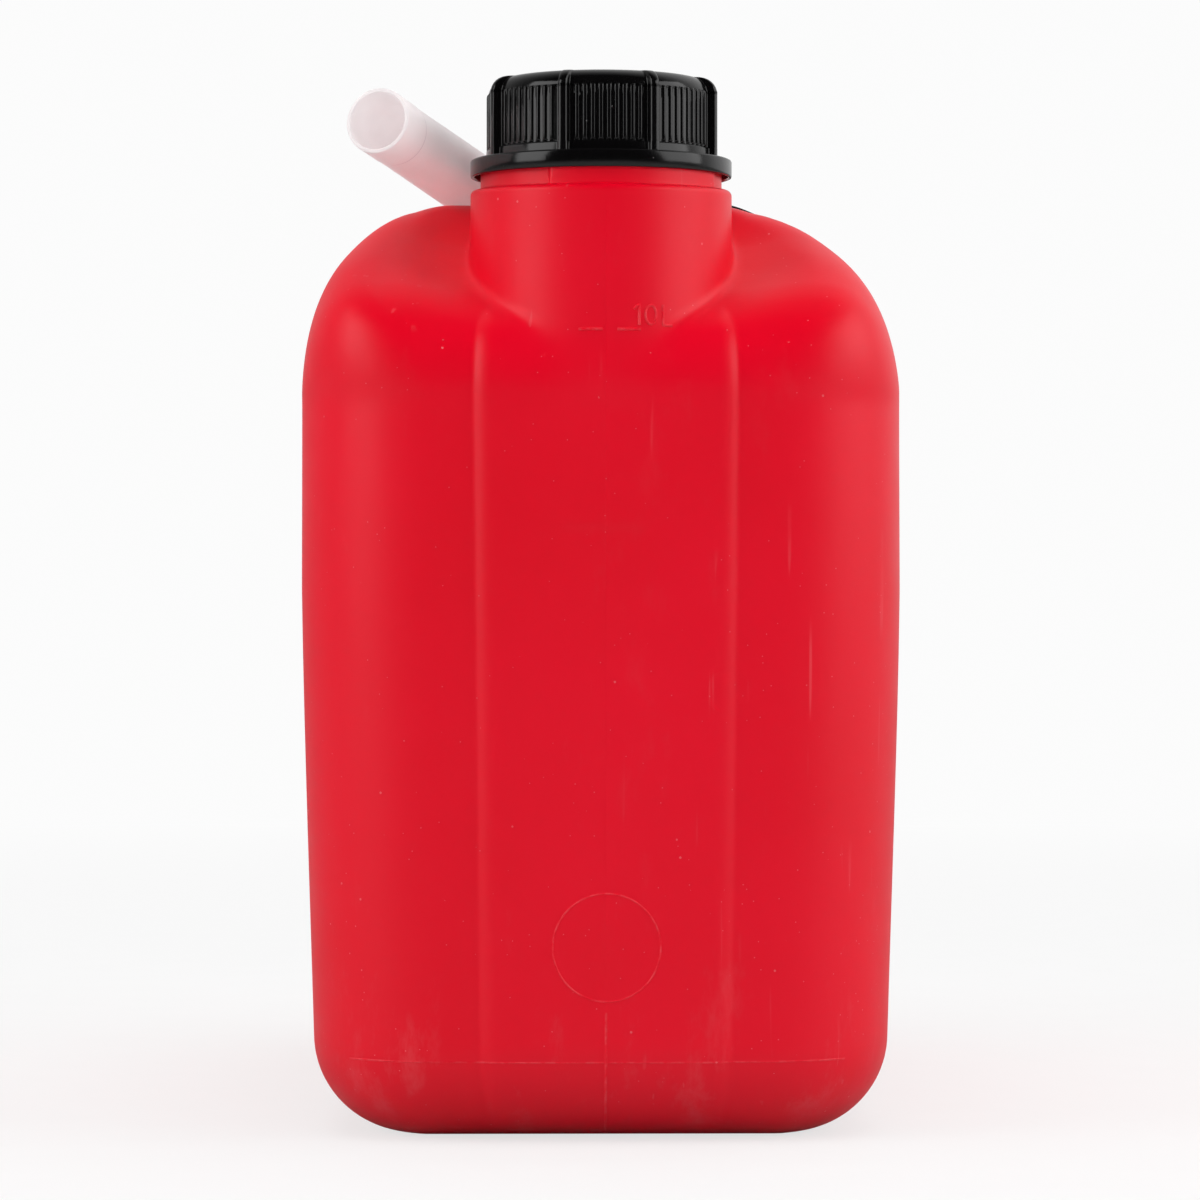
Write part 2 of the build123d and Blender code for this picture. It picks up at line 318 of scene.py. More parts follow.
def can_field(x, y, z):
    """Signed distance to the canister's outside, roughly true near the skin."""
    t = y - front_y
    walls = rounded_and(front_view(x + 0 * z, z + 0 * x), t - body_length, plan_radius)
    corner = smooth_step(*front_corner_t, t) * smooth_step(*front_corner_z, z)
    edge = crest_edge_radius + (plan_radius - crest_edge_radius) * corner
    edge = edge - (crest_edge_radius - ridge_edge_radius) * smooth_step(*ridge_z, z)
    edge = edge + (rear_edge_radius - crest_edge_radius) * smooth_step(*rear_edge_t, t)
    body = rounded_and(walls, side_view(t + 0 * z, z + 0 * t), edge)
    body = rounded_and(body, -z, base_radius)
    body = body + wander * np.sin(x / 23 + 1) * np.sin(y / 31 + 2) * np.sin(z / 27)
    radius = np.hypot(x - neck_x, y - neck_y)
    dip = smooth_step(*dip_z, z) * smooth_step(dip_width, 0, radius - collar_radius)
    dip = dip_depth * dip * smooth_step(*dip_front_t, t) * smooth_step(*dip_rear_t, t)

    panel = panel_view(t + 0 * z, z + 0 * t)
    panel = rounded_and(past_panel_side(x, z), panel, panel_edge_radius)
    body = smooth_or(body, panel + panel_sink * smooth_step(*panel_sink_z, z), panel_fillet) + dip

    across = np.maximum(np.abs(x) - grip_half_width + grip_corner, 0)
    along = np.maximum(handle_view(t + 0 * z, z + 0 * t) - grip_half_height + grip_corner, 0)
    handle = np.sqrt(across ** 2 + along ** 2) - grip_corner
    body = smooth_or(body, handle, grip_fillet)

    sunk = collar_waist * smooth_step(*collar_waist_z, z)
    rim = collar_top + collar_rise * np.clip(1 - (neck_y - y) / np.maximum(radius, 1), 0, 1)
    collar = rounded_and(radius - collar_radius + sunk, z - rim, collar_edge)
    collar = np.maximum(collar, collar_foot - z)
    body = smooth_or(body, collar, collar_fillet)

    angle = np.arctan2(y - neck_y, x - neck_x)
    ring = np.maximum(radius - ring_reach(angle), np.maximum(z - ring_top, ring_foot - z))
    return smooth_or(body, ring, ring_fillet)


def cavity_field(x, y, z):
    """Signed distance to the hollow inside the canister."""
    return can_field(x, y, z) + wall


# ---- Turning a distance field into a mesh ----

def surface_net(field, low, high, cell):
    """Vertices and quads of the field's zero surface, one vertex in each cell it crosses."""
    axes = [np.arange(a, b + cell, cell) for a, b in zip(low, high)]
    value = field(*np.meshgrid(*axes, indexing="ij", sparse=True))
    inside = value < 0
    shape = tuple(n - 1 for n in value.shape)
    total = np.zeros((*shape, 3))
    count = np.zeros(shape)

    def window(array, axis, offsets):
        """The part of an edge array that lines up with the cells at these offsets."""
        index = []
        side = iter(offsets)
        for d in range(3):
            start = 0 if d == axis else next(side)
            index.append(slice(start, start + shape[d]))
        return array[tuple(index)]

    crossings = []
    for axis in range(3):
        first = [slice(None)] * 3
        second = [slice(None)] * 3
        first[axis] = slice(None, -1)
        second[axis] = slice(1, None)
        a, b = value[tuple(first)], value[tuple(second)]
        crossed = (a < 0) != (b < 0)
        share = np.where(crossed, a / np.where(crossed, a - b, 1), 0)
        crossings.append((crossed, inside[tuple(first)]))
        others = [d for d in range(3) if d != axis]
        for offsets in ((0, 0), (0, 1), (1, 0), (1, 1)):
            hit = window(crossed, axis, offsets)
            count += hit
            total[..., axis] += window(share, axis, offsets)
            for d, offset in zip(others, offsets):
                total[..., d] += hit * offset
    active = count > 0
    cells = np.argwhere(active)
    ids = np.full(shape, -1)
    ids[active] = np.arange(len(cells))
    points = (cells + total[active] / count[active][:, None]) * cell + np.array(low)

    quads = []
    for axis, (crossed, starts_inside) in enumerate(crossings):
        where = np.argwhere(crossed)
        others = [d for d in range(3) if d != axis]
        keep = np.all([(where[:, d] > 0) & (where[:, d] < shape[d]) for d in others], axis=0)
        where = where[keep]
        outward = starts_inside[tuple(where.T)]
        corners = []
        for da, db in ((0, 0), (1, 0), (1, 1), (0, 1)):
            cell_index = where.copy()
            cell_index[:, others[0]] -= da
            cell_index[:, others[1]] -= db
            corners.append(ids[tuple(cell_index.T)])
        quad = np.column_stack(corners)
        flip = outward if axis == 1 else ~outward
        quad[flip] = quad[flip][:, ::-1]
        quads.append(quad)
    return points, np.vstack(quads)


def gradient(field, points, reach=0.4):
    slope = np.empty_like(points)
    for axis in range(3):
        step = np.zeros(3)
        step[axis] = reach
        slope[:, axis] = (field(*(points + step).T) - field(*(points - step).T)) / (2 * reach)
    return slope


def settle(field, points, passes=3, longest=1.5):
    """Points moved onto the field's zero surface."""
    for _ in range(passes):
        slope = gradient(field, points)
        size = np.maximum((slope ** 2).sum(1), 0.15)
        move = -(field(*points.T) / size)[:, None] * slope
        length = np.linalg.norm(move, axis=1, keepdims=True)
        points = points + move * np.minimum(1, longest / np.maximum(length, 1e-9))
    return points


def relax(field, points, quads, passes=3):
    """Evens out the spacing of the vertices, and keeps them on the surface."""
    for _ in range(passes):
        total = np.zeros_like(points)
        count = np.zeros(len(points))
        for k in range(4):
            a, b = quads[:, k], quads[:, (k + 1) % 4]
            np.add.at(total, a, points[b])
            np.add.at(total, b, points[a])
            np.add.at(count, a, 1)
            np.add.at(count, b, 1)
        points = settle(field, 0.5 * points + 0.5 * total / count[:, None], passes=1)
    return points


def bmesh_points(bm):
    return np.array([v.co for v in bm.verts])


def set_points(bm, points):
    for vertex, point in zip(bm.verts, points):
        vertex.co = point


def refine(bm, field, chosen):
    """Splits the faces whose corners all lie in the chosen zone, and settles the new vertices."""
    points = bmesh_points(bm)
    zone = chosen(*points.T)
    bm.verts.index_update()
    edges = [e for e in bm.edges if zone[e.verts[0].index] and zone[e.verts[1].index]]
    bmesh.ops.subdivide_edges(bm, edges=edges, cuts=1, use_grid_fill=True)
    points = bmesh_points(bm)
    zone = chosen(*points.T)
    points[zone] = settle(field, points[zone], passes=2, longest=0.8)
    set_points(bm, points)


def near_neck(x, y, z):
    radius = np.hypot(x - neck_x, y - neck_y)
    return (radius < 43) & (z > 196) & (y < neck_y + 45)


def near_fine_edges(x, y, z):
    radius = np.hypot(x - neck_x, y - neck_y)
    panel = (np.abs(past_panel_side(x, z) + 3.5) < 4.5) & (y - front_y < 22) & (z < 246)
    rim = (radius < 40) & (radius > 30) & (z > 254.5)
    return panel | rim


def new_bmesh(points, faces):
    bm = bmesh.new()
    verts = [bm.verts.new(p) for p in points]
    for face in faces:
        bm.faces.new([verts[i] for i in face])
    return bm


def append(bm, part):
    """Moves the faces of one bmesh into another."""
    mesh = bpy.data.meshes.new("part")
    part.to_mesh(mesh)
    part.free()
    bm.from_mesh(mesh)
    bpy.data.meshes.remove(mesh)


def axis_distance(vertex):
    return math.hypot(vertex.co.x - neck_x, vertex.co.y - neck_y)


def cut_neck(bm):
    """Opens the skin at the top of the neck, with a clean circle for a rim."""
    chosen = [v for v in bm.verts if axis_distance(v) < 38 and v.co.z > neck_cut - 6]
    faces = list(dict.fromkeys(f for v in chosen for f in v.link_faces))
    parts = [*(v for f in faces for v in f.verts), *(e for f in faces for e in f.edges), *faces]
    bmesh.ops.bisect_plane(
        bm,
        geom=list(dict.fromkeys(parts)),
        plane_co=(0, 0, neck_cut),
        plane_no=(0, 0, 1),
        clear_outer=True,
    )
    loose = [v for v in bm.verts if not v.link_faces]
    bmesh.ops.delete(bm, geom=loose, context="VERTS")


def add_object(name, data):
    piece = bpy.data.objects.new(name, data)
    bpy.context.scene.collection.objects.link(piece)
    return piece


def finish_piece(name, bm, material, body, node=None, sharp=50, field_normals=None):
    """Turns a bmesh in millimetres into a piece in metres that rides a body."""
    bmesh.ops.recalc_face_normals(bm, faces=bm.faces)
    bmesh.ops.triangulate(bm, faces=[f for f in bm.faces if len(f.verts) > 4])
    mesh = bpy.data.meshes.new(name)
    points = bmesh_points(bm)
    bmesh.ops.scale(bm, vec=(MM, MM, MM), verts=bm.verts)
    bm.to_mesh(mesh)
    bm.free()
    mesh.shade_smooth()
    mesh.set_sharp_from_angle(angle=math.radians(sharp))
    if field_normals:
        mesh.normals_split_custom_set_from_vertices(field_normals(points))
    mesh.materials.append(material)
    piece = add_object(name, mesh)
    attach(piece, body)
    if node:
        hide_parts(node)


def grid_faces(rows, columns, close_rows):
    """Quads of a grid whose columns run round a closed loop."""
    faces = []
    for row in range(rows if close_rows else rows - 1):
        below = row * columns
        above = ((row + 1) % rows) * columns
        for column in range(columns):
            following = (column + 1) % columns
            faces.append((below + column, below + following, above + following, above + column))
    return faces


def add_fan(flat, faces, points, row, forward):
    """Closes one row of a grid with triangles to its middle."""
    columns = points.shape[1]
    pole = len(flat)
    flat.append(points[row].mean(0))
    for column in range(columns):
        a = row * columns + column
        b = row * columns + (column + 1) % columns
        faces.append((a, b, pole) if forward else (b, a, pole))


def turned_bmesh(points, solid):
    """A rows x columns x 3 array as a disc with a fan at either end, or as a ring."""
    rows, columns, _ = points.shape
    flat = list(points.reshape(-1, 3))
    faces = grid_faces(rows, columns, not solid)
    if solid:
        add_fan(flat, faces, points, 0, False)
        add_fan(flat, faces, points, rows - 1, True)
    return new_bmesh(flat, faces)


# ---- Materials ----

class Nodes:
    """A short way to write the node tree of a material or a world."""

    def __init__(self, owner):
        owner.use_nodes = True
        self.owner = owner
        self.tree = owner.node_tree
        self.tree.nodes.clear()

    def add(self, kind, **values):
        """A node with its properties and inputs set by name, or as i0, i1 and so on by number."""
        node = self.tree.nodes.new("ShaderNode" + kind)
        for key, value in values.items():
            if hasattr(node, key) and key not in node.inputs:
                setattr(node, key, value)
                continue
            numbered = key[0] == "i" and key[1:].isdigit()
            self.put(node.inputs[int(key[1:]) if numbered else key.replace("_", " ")], value)
        return node

    def put(self, socket, value):
        """Sets an input to a value, or links it; a node stands for its first output."""
        if isinstance(value, bpy.types.Node):
            value = value.outputs[0]
        if isinstance(value, bpy.types.NodeSocket):
            self.tree.links.new(value, socket)
        else:
            socket.default_value = value

    def math(self, operation, a, b=0.0):
        return self.add("Math", operation=operation, i0=a, i1=b)

    def mix(self, factor, a, b):
        node = self.add("Mix", data_type="RGBA")
        for index, value in ((0, factor), (6, a), (7, b)):
            self.put(node.inputs[index], value)
        return node.outputs[2]

    def ramp(self, factor, low, high):
        """0 below low, 1 above high."""
        return self.add("MapRange", Value=factor, i1=low, i2=high)

    def product(self, a, b):
        return self.math("MULTIPLY", a, b)

    def larger(self, a, b):
        return self.math("MAXIMUM", a, b)

    def sum(self, a, b):
        return self.math("ADD", a, b)

    def noise(self, vector, scale, detail=2.0, roughness=0.5):
        return self.add("TexNoise", Vector=vector, Scale=scale, Detail=detail, Roughness=roughness)

    def bump(self, strength, distance, height):
        return self.add("Bump", Strength=strength, Distance=distance, Height=height)

    def finish(self, shader, output="OutputMaterial"):
        self.add(output, Surface=shader)
        return self.owner


def new_material(name):
    """The nodes of a new material, with the place on the piece as their first value."""
    n = Nodes(bpy.data.materials.new(name))
    return n, n.add("TexCoord").outputs["Object"]


def red_plastic(name, worn=0.0):
    """Satin blow-moulded polyethylene: fine grain, dust specks, pale scratches and rub marks, and a
    pale haze towards the bottom that is a painted reflection of the floor.
    """
    n, place = new_material(name)
    cloud = n.noise(place, 14, 3)
    colour = n.mix(n.ramp(cloud, 0.3, 0.7), (0.78, 0.0004, 0.014, 1), (0.84, 0.0004, 0.019, 1))

    # Dust and nicks: small pale dots, only where a second noise allows them
    specks = None
    for scale, size, level in ((330.0, 0.06, 0.48), (150.0, 0.05, 0.56)):
        cells = n.add("TexVoronoi", Vector=place, Scale=scale)
        dot = n.math("LESS_THAN", cells, size)
        dot = n.product(dot, n.math("GREATER_THAN", n.noise(place, scale / 4, 2), level))
        specks = dot if specks is None else n.larger(specks, dot)

    # Scratches: thin lines of stretched noise, in a few regions only
    lines = None
    for turn, scale, level in ((0.5, 420.0, 0.70), (-0.7, 360.0, 0.71), (1.45, 400.0, 0.70)):
        turned = n.add("Mapping", Vector=place, Rotation=(0.2, turn, 0.3), Scale=(1, 1, 0.035))
        streak = n.ramp(n.noise(turned, scale, 1.5), level, level + 0.03)
        region = n.ramp(n.noise(place, 9 + 5 * abs(turn), 3), 0.56, 0.66)
        streak = n.product(streak, region)
        lines = streak if lines is None else n.larger(lines, streak)
    marks = n.larger(n.product(specks, 0.45), n.product(lines, 0.14))

    # Rub marks: a faint chalky haze in patches; towards the bottom it is stronger and wider, a
    # painted reflection of the pale floor
    height = n.add("SeparateXYZ", i0=place).outputs[2]
    # Painted reflection: below about 75 mm the haze spreads and brightens, where the floor would be
    # mirrored
    floor_reflection_zone = n.ramp(height, 0.075, 0.015)
    flattened = n.add("Mapping", Vector=place, Scale=(1, 1, 0.35))
    haze_and_floor_reflection = n.noise(flattened, 60, 6, 0.75)
    haze_and_floor_reflection = n.ramp(n.sum(haze_and_floor_reflection, n.product(floor_reflection_zone, 0.07)), 0.60, 0.80)
    haze_and_floor_reflection = n.product(haze_and_floor_reflection, n.sum(0.04, n.product(floor_reflection_zone, 0.11)))
    marks = n.larger(marks, haze_and_floor_reflection)
    if worn:
        rubbed = n.ramp(n.noise(place, 320, 3, 0.7), 0.40, 0.62)
        marks = n.larger(marks, n.product(rubbed, worn))
    # The marks' pale colour; near the bottom it also paints the floor's reflection
    colour = n.mix(marks, colour, (0.90, 0.30, 0.32, 1))

    grain = n.noise(place, 1500, 2)
    peel = n.noise(place, 160, 2)
    height = n.sum(n.product(grain, 0.35), n.product(peel, 0.65))
    bump = n.bump(0.14, 0.0004, height)
    rough = n.sum(0.36, n.product(n.noise(place, 90, 3), 0.10))
    rough = n.sum(rough, n.product(marks, 0.2))
    shader = n.add("BsdfPrincipled", Base_Color=colour, Roughness=rough, Normal=bump)
    shader.inputs["Specular IOR Level"].default_value = 0.45
    return n.finish(shader)


def black_plastic():
    """Glossy moulded black with fine dust and faint flow variation."""
    n, place = new_material("black_closure")
    cells = n.add("TexVoronoi", Vector=place, Scale=420.0)
    speck = n.math("LESS_THAN", cells, 0.09)
    speck = n.product(speck, n.math("GREATER_THAN", n.noise(place, 130, 2), 0.62))
    colour = n.mix(n.product(speck, 0.6), (0.0028, 0.0026, 0.0028, 1), (0.20, 0.19, 0.19, 1))
    rough = n.sum(0.08, n.product(n.noise(place, 70, 4), 0.14))
    bump = n.bump(0.10, 0.0002, n.noise(place, 600, 2))
    shader = n.add("BsdfPrincipled", Base_Color=colour, Roughness=rough, Normal=bump, IOR=1.5)
    return n.finish(shader)


def milky_plastic(middle, direction):
    """Undyed polyethylene: pale, translucent, slightly cloudy, with a faint painted glow that
    stands in for light shining through the walls.
    """
    n, place = new_material("milky_spout")
    cloud = n.noise(place, 60, 3)
    colour = n.mix(n.ramp(cloud, 0.35, 0.65), (0.88, 0.84, 0.845, 1), (0.92, 0.89, 0.895, 1))
    # A fine shadow line, on the outside only, marks where the mouth band ends
    away = n.add("VectorMath", operation="SUBTRACT", i0=place, i1=tuple(middle * MM))
    along = n.add("VectorMath", operation="DOT_PRODUCT", i0=away, i1=tuple(direction))
    along = along.outputs["Value"]
    along = n.product(along, n.math("LESS_THAN", along, 2 * band_length * MM))
    from_line = n.math("ABSOLUTE", n.math("SUBTRACT", along, (band_length + 0.1) * MM))
    outside = n.add("VectorMath", operation="LENGTH", i0=away).outputs["Value"]
    outside = n.math("SUBTRACT", n.math("POWER", outside, 2), n.math("POWER", along, 2))
    outside = n.math("GREATER_THAN", outside, ((tube_mouth_radius - tube_wall / 2) * MM) ** 2)
    line = n.product(n.ramp(from_line, 0.00045, 0.0001), n.product(outside, 0.5))
    colour = n.mix(line, colour, (0.50, 0.44, 0.50, 1))
    bump = n.bump(0.12, 0.0003, n.noise(place, 260, 3))
    gloss = n.add(
        "BsdfPrincipled",
        Base_Color=colour,
        Roughness=n.sum(0.30, n.product(cloud, 0.12)),
        Normal=bump,
        IOR=1.5,
        # Painted glow: a faint emission stands in for light shining through the translucent walls
        Emission_Color=(1.0, 0.95, 0.95, 1),
        Emission_Strength=0.15,
    )
    through = n.add("BsdfTranslucent", Color=colour, Normal=bump)
    clear = n.add("BsdfTransparent", Color=(0.93, 0.90, 0.90, 1))
    milky = n.add("MixShader", i0=0.30, i1=gloss, i2=through)
    shader = n.add("MixShader", i0=0.12, i1=milky, i2=clear)
    return n.finish(shader)


def seal_rubber():
    """Dull black elastomer with a fine sheet texture."""
    n, place = new_material("seal_rubber")
    mottle = n.noise(place, 220, 4)
    colour = n.mix(mottle, (0.028, 0.028, 0.030, 1), (0.055, 0.054, 0.054, 1))
    bump = n.bump(0.2, 0.0003, n.noise(place, 900, 3))
    shader = n.add("BsdfPrincipled", Base_Color=colour, Roughness=0.72, Normal=bump)
    return n.finish(shader)


red = red_plastic("red_polyethylene")
rubbed_red = red_plastic("red_rubbed_edges", worn=0.16)
black = black_plastic()
rubber = seal_rubber()


# ---- Canister ----

outer_cell = 2.0
inner_cell = 3.0


def thread_share(angle, height, start):
    """How far the thread's rib has risen at each angle of one height; 1 on its crest."""
    turns = angle / (2 * math.pi)
    share = np.zeros(len(angle))
    for turn in range(-1, 3):
        middle = start + thread_pitch * (turns + turn)
        within = (middle > start - 0.01) & (middle < start + thread_pitch * thread_turns)
        near = np.clip((thread_half_width - np.abs(height - middle)) / thread_flank, 0, 1)
        share = np.maximum(share, near * within)
    return share


def neck_rows():
    """Rows of the turned neck from the outside of the cut, over the rim and down the bore."""
    angle = full_turn(240)
    ring = ring_reach(angle)
    rows = []

    def row(radius, height):
        x = neck_x + radius * np.cos(angle)
        y = neck_y + radius * np.sin(angle)
        rows.append(np.column_stack((x, y, height + 0 * angle)))

    def rounded_rim(radius, top, start):
        for turn in np.linspace(start, math.pi / 2, 4):
            inset = rim_edge * (1 - math.cos(turn))
            row(radius - inset, top - rim_edge + rim_edge * math.sin(turn))

    for height in (neck_cut + 0.4, 263.4, 264.8, pad_top - 0.25):
        row(ring, height)
    row(ring_radius + (ring - ring_radius) * 0.8, pad_top)
    row(ring_radius, pad_top + 0.1)
    rounded_rim(ring_radius, ring_top, 0.2)
    row(neck_radius + 0.5, ring_top)
    thread_start = neck_top - thread_lead - thread_pitch * thread_turns
    for height in np.linspace(ring_top + 0.5, neck_top - rim_edge, 52):
        row(neck_radius + thread_depth * thread_share(angle, height, thread_start), height)
    rounded_rim(neck_radius, neck_top, 0.3)
    row(neck_bore + 0.4, neck_top)
    row(neck_bore, neck_top - 0.4)
    for height in (280.0, 270.0, ring_top - wall):
        row(neck_bore, height)
    row(ring_radius - wall - 0.4, ring_top - wall)
    row(ring_radius - wall, ring_top - wall - 0.4)
    row(ring_radius - wall, neck_cut + 0.4)
    return np.array(rows)


def skin_normals(points):
    """Field normals for the body; zero on the turned neck, which keeps its mesh's own."""
    normals = gradient(can_field, points)
    normals /= np.maximum(np.linalg.norm(normals, axis=1, keepdims=True), 1e-9)
    inside = cavity_field(*points.T) < 0.9
    normals[inside] *= -1
    radius = np.hypot(points[:, 0] - neck_x, points[:, 1] - neck_y)
    normals[(radius < 38) & (points[:, 2] > pad_top - 0.3)] = 0
    return normals


def rim_radius(edge):
    return np.mean([axis_distance(v) for v in edge.verts])


def canister():
    margin = 4
    low = (can_low[0] - margin, can_low[1] - margin, -margin)
    high = can_high + margin
    points, quads = surface_net(can_field, low, high, outer_cell)
    points = relax(can_field, settle(can_field, points), quads)
    skin = new_bmesh(points, quads)
    refine(skin, can_field, near_neck)
    refine(skin, can_field, near_fine_edges)
    refine(skin, can_field, near_fine_edges)
    cut_neck(skin)

    points, quads = surface_net(cavity_field, low, high, inner_cell)
    points = relax(cavity_field, settle(cavity_field, points), quads, passes=2)
    inner = new_bmesh(points, quads[:, ::-1])
    cut_neck(inner)

    append(skin, inner)
    neck = neck_rows()
    append(skin, new_bmesh(neck.reshape(-1, 3), grid_faces(*neck.shape[:2], False)))

    # Sew the two skins to the turned neck
    rims = [e for e in skin.edges if e.is_boundary]
    middle = ring_radius - wall / 2
    bmesh.ops.bridge_loops(skin, edges=[e for e in rims if rim_radius(e) > middle])
    bmesh.ops.bridge_loops(skin, edges=[e for e in rims if rim_radius(e) <= middle])
    finish_piece(
        "can_moulding", skin, red, "can", "canister", 40, skin_normals
    )


canister()


# ---- Raised lines and marks on the canister ----

def on_front(x, z):
    """Points of the canister's front at these places, seen straight from the front."""
    x, z = np.broadcast_arrays(np.asarray(x, float), np.asarray(z, float))
    y = np.full(x.shape, front_y - 6.0)
    for _ in range(40):
        y = y + 0.8 * can_field(x, y, z)
    return np.column_stack((x, y, z))


def bead(path, half_width, height, closed=False):
    """A low rounded ridge along a path on the canister's skin."""
    normal = gradient(can_field, path)
    normal /= np.linalg.norm(normal, axis=1, keepdims=True)
    if closed:
        along = np.roll(path, -1, axis=0) - np.roll(path, 1, axis=0)
    else:
        along = np.gradient(path, axis=0)
    across = np.cross(along, normal)
    across /= np.maximum(np.linalg.norm(across, axis=1, keepdims=True), 1e-9)
    foot = -min(0.12, 2 * height)
    haunch = 0.66 * height
    section = [(-1, foot), (-0.6, haunch), (0, height), (0.6, haunch), (1, foot), (0, -0.4)]
    columns = [path + side * half_width * across + up * normal for side, up in section]
    points = np.stack(columns, axis=1)
    count = len(section)
    bm = new_bmesh(points.reshape(-1, 3), grid_faces(len(path), count, closed))
    if not closed:
        bm.verts.ensure_lookup_table()
        bm.faces.new(bm.verts[:count][::-1])
        bm.faces.new(bm.verts[-count:])
    return bm


def joined(name, parts, material):
    """Several bmeshes as one piece of the canister."""
    whole = bmesh.new()
    for part in parts:
        append(whole, part)
    finish_piece(name, whole, material, "can", sharp=60)


def resampled(path, step):
    """Points at an even step along a polyline."""
    path = np.asarray(path, float)
    length = np.concatenate(([0], np.cumsum(np.linalg.norm(np.diff(path, axis=0), axis=1))))
    at = np.linspace(0, length[-1], max(3, int(length[-1] / step) + 1))
    return np.column_stack([np.interp(at, length, path[:, k]) for k in range(path.shape[1])])


parting_x = 0.8
insert_height = 22.5
mark_height = 220.7  # the ten-litre level
mark_relief = 0.40
mark_half_width = 0.46
faint_relief = 0.012
clear_line_top = 36.0  # above this the parting line is barely there


def parting_line():
    """The mould's parting line: clear at the foot of the front, on the handle and down the rear."""
    parts = [bead(on_front(parting_x, np.linspace(2.5, clear_line_top, 40)), 0.42, 0.20)]
    rear = [(body_length - 18, 243), (body_length, 239), (body_length, 4)]
    grip = resampled(handle_path(), 2.0)
    slope = np.gradient(grip, axis=0)
    slope /= np.linalg.norm(slope, axis=1, keepdims=True)
    out = np.column_stack((-slope[:, 1], slope[:, 0]))
    for outline in (
        resampled(rear, 2.0),
        (grip + grip_half_height * out)[14:-14],
        (grip - grip_half_height * out)[22:-22],
    ):
        x = np.full(len(outline), parting_x)
        place = np.column_stack((x, outline[:, 0] + front_y, outline[:, 1]))
        place = settle(can_field, place, passes=10)
        place[:, 0] = parting_x
        parts.append(bead(place, 0.32, 0.12))
    return parts


def ring_mark(x, z, radius, height):
    turn = full_turn(96)
    path = on_front(x + radius * np.cos(turn), z + radius * np.sin(turn))
    return bead(path, 0.30, height, closed=True)


def stroke(points):
    flat = resampled(points, 0.5)
    return bead(on_front(flat[:, 0], flat[:, 1]), mark_half_width, mark_relief)


def capacity_mark():
    """Two dashes at the ten-litre level and the number beside them."""
    low, high = mark_height + 1.2, mark_height + 6.8
    middle = (low + high) / 2
    turn = full_turn(40)
    nought = on_front(13.0 + 1.45 * np.cos(turn), middle + 2.6 * np.sin(turn))
    return [
        stroke([(-6.6, mark_height), (-0.1, mark_height)]),
        stroke([(3.9, mark_height), (10.2, mark_height)]),
        stroke([(8.3, high - 1.3), (9.8, high), (9.8, low)]),
        bead(nought, 0.42, mark_relief, closed=True),
        stroke([(16.3, high), (16.3, low), (18.8, low)]),
    ]


insert_line = on_front(np.linspace(-69, 66, 180), insert_height)
insert_lines = [bead(insert_line, 0.32, 0.12), ring_mark(1.0, 53.6, 14.6, 0.16)]
upper_line = on_front(parting_x, np.linspace(clear_line_top + 0.5, 256, 160))
faint_lines = [bead(upper_line, 0.35, faint_relief), ring_mark(34.0, 122.7, 6.0, faint_relief)]
joined("can_parting_line", parting_line(), rubbed_red)
joined("can_insert_lines", insert_lines, rubbed_red)
joined("can_faint_lines", faint_lines, red)
joined("can_capacity_mark", capacity_mark(), rubbed_red)


# ---- Screw cap and spout nut ----

flange_height = 4.8
flange_wall = 1.1
flange_web = 1.4
barrel_radius = 31.4
top_plate = 2.5
top_edge = 5.0
crown_drop = 0.6  # the crown between the ribs stands this much below the full height
rib_count = 8
rib_rise = 2.3
rib_turn = math.radians(25.6)
flutes_per_side = 9
flute_depth = 0.42
flute_low = 7.6
flute_high = 23.0
bore_radius = neck_radius + thread_depth + 0.4
closure_thread_start = neck_top - thread_lead - thread_pitch * (thread_turns + 0.5) - cap_low[2]
nut_hole_radius = 19.5
recess_radius = 22.4  # the middle of the top lies a little lower
gate_radius = 2.8  # the dimple where the plastic was injected


def closure_columns():
    """Angles around a closure with the rib's and the flutes' share of relief at each."""
    half_rib = [0, 0.7, 1.4, 1.9, 2.25, 2.5, 2.75, 3.0, 3.5, 4.0]
    rise = [1, 0.99, 0.95, 0.86, 0.70, 0.42, 0.14, 0.03, 0, 0]
    rib_edge = 4.6
    sector = 360 / rib_count
    pitch = (sector - 2 * rib_edge) / flutes_per_side
    across = [0.06, 0.18, 0.26, 0.34, 0.50, 0.66, 0.74, 0.82, 0.94]
    ridge = [0, 0, 0.55, 1, 1, 1, 0.55, 0, 0]
    angle, rib, flute = [], [], []
    for k in range(rib_count):
        start = k * sector
        for a, r in zip(half_rib[:0:-1], rise[:0:-1]):
            angle.append(start - a), rib.append(r), flute.append(0)
        for a, r in zip(half_rib, rise):
            angle.append(start + a), rib.append(r), flute.append(0)
        for f in range(flutes_per_side):
            for a, r in zip(across, ridge):
                angle.append(start + rib_edge + (f + a) * pitch), rib.append(0), flute.append(r)
    return np.radians(angle) + rib_turn, np.array(rib), np.array(flute, float)


